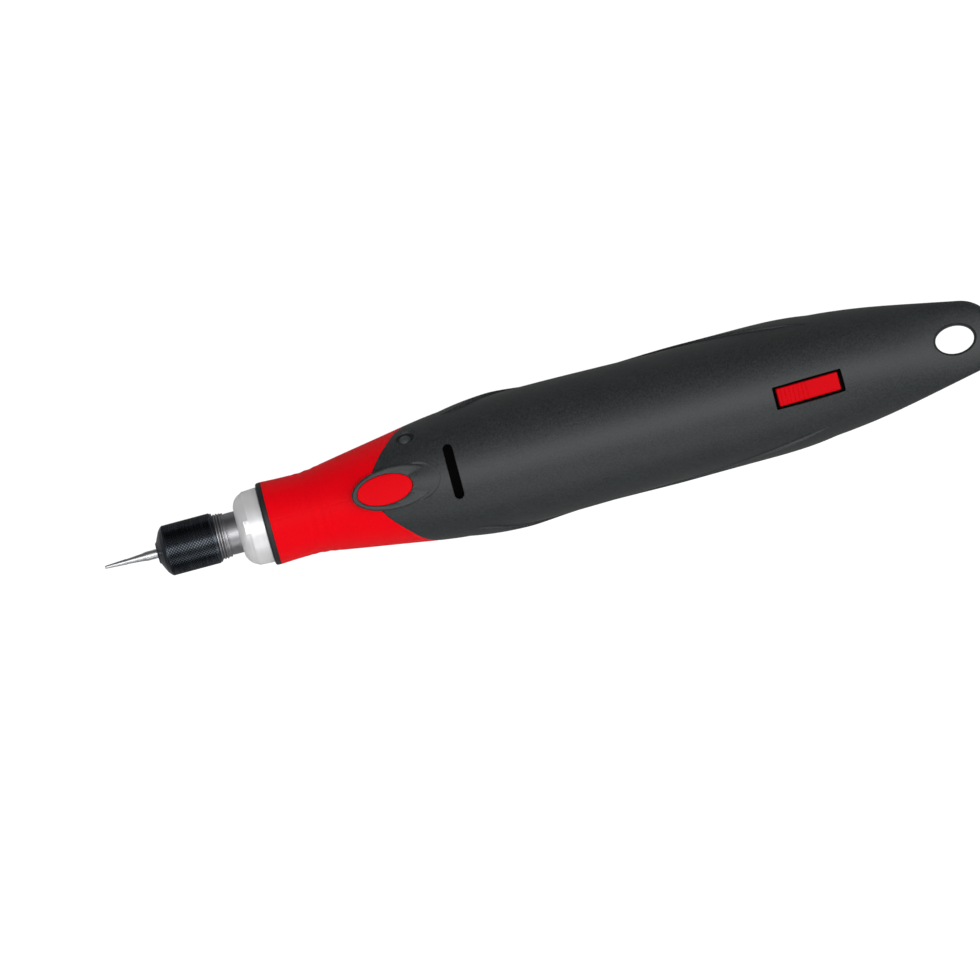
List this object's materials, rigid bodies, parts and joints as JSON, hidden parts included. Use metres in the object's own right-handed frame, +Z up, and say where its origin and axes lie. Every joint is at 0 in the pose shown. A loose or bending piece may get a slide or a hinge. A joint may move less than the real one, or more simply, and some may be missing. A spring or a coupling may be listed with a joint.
{
  "type": "pen sander",
  "caption": "Slim cordless pen sander with a collet chuck and grinding bit, red nose, black soft grip, oval power button, spindle lock, slide switch and hang hole.",
  "frame": {"origin": "middle of the bounding box's bottom face, on the flat of the belly that the tool lies on", "axes": "+X along the tool from the grinding tip to the hang hole, +Z up through the power button"},
  "size_m": [0.2309, 0.035, 0.0331],
  "materials": {
    "soft_grip": "matte fine grain",
    "red_abs": "moulded satin gloss",
    "red_button": "moulded satin gloss",
    "black_abs": "fine spark grain",
    "black_button": "matte",
    "satin_collar": "satin anodised",
    "trim_ring": "matte",
    "turned_steel": "turned",
    "collet_steel": "black oxide",
    "black_oxide": "black oxide, knurled",
    "bit_steel": "ground",
    "shaft_steel": "ground",
    "bronze": "sintered",
    "motor_steel": "zinc plated",
    "spring_steel": "drawn wire",
    "magnet": "sintered ferrite",
    "brass": "stamped",
    "board": "solder mask",
    "switch_plastic": "moulded",
    "nylon": "moulded",
    "cell_jacket": "printed film over metal"
  },
  "bodies": {
    "housing": {"grip_skin": "soft_grip", "housing_left": "red_abs", "housing_right": "red_abs", "nose_collar": "satin_collar", "nose_ring": "trim_ring", "circuit_board": "board", "push_switch": "switch_plastic", "lock_guide": "switch_plastic", "slider_track": "switch_plastic", "slide_switch": "switch_plastic", "switch_board": "board", "front_bearing": "bronze", "rear_bearing": "bronze", "lock_spring": "spring_steel", "motor_can": "motor_steel", "motor_magnets": "magnet", "motor_end_cap": "nylon", "motor_terminals": "brass", "battery_tray": "black_abs", "battery_cells": "cell_jacket", "battery_contacts": "brass"},
    "spindle": {"spindle": "turned_steel", "drive_coupling": "nylon", "motor_shaft": "shaft_steel", "motor_rotor": "motor_steel"},
    "collet": {"collet": "collet_steel"},
    "chuck_cap": {"chuck_cap": "black_oxide"},
    "grinding_bit": {"grinding_bit": "bit_steel"},
    "power_button": {"power_button": "red_button", "switch_plunger": "nylon"},
    "lock_button": {"lock_button": "black_button"},
    "speed_slider": {"speed_slider": "red_button", "switch_lever": "nylon"},
    "battery_cover": {"battery_cover": "black_abs"}
  },
  "joints": [
    {"name": "spindle_spin", "type": "hinge", "parent": "housing", "child": "spindle", "pos_m": [-0.07145, 0, 0.0163], "axis": [1, 0, 0], "continuous": true},
    {"name": "collet_slide", "type": "slide", "parent": "spindle", "child": "collet", "axis": [-1, 0, 0], "range_m": [0, 0.0011]},
    {"name": "cap_turn", "type": "hinge", "parent": "collet", "child": "chuck_cap", "pos_m": [-0.08645, 0, 0.0163], "axis": [-1, 0, 0], "range_deg": [0, 540]},
    {"name": "bit_pull", "type": "slide", "parent": "collet", "child": "grinding_bit", "axis": [-1, 0, 0], "range_m": [0, 0.032]},
    {"name": "power_press", "type": "slide", "parent": "housing", "child": "power_button", "axis": [0, 0, -1], "range_m": [0, 0.0008], "stiffness_N_per_m": 1200, "springref_m": -0.0005},
    {"name": "lock_press", "type": "slide", "parent": "housing", "child": "lock_button", "axis": [0, -0.7826, -0.6225], "range_m": [0, 0.0013], "stiffness_N_per_m": 400, "springref_m": -0.001, "deforming": ["lock_spring"]},
    {"name": "speed_slide", "type": "slide", "parent": "housing", "child": "speed_slider", "axis": [0.9956, 0.02, -0.0911], "range_m": [-0.0008, 0.0008]},
    {"name": "cover_swing", "type": "hinge", "parent": "housing", "child": "battery_cover", "pos_m": [0.01275, 0, 0], "axis": [0, 1, 0], "range_deg": [0, 60]}
  ],
  "couplings": [
    {"joint": "collet_slide", "follows": "cap_turn", "m_per_rad": 0.00011141}
  ]
}
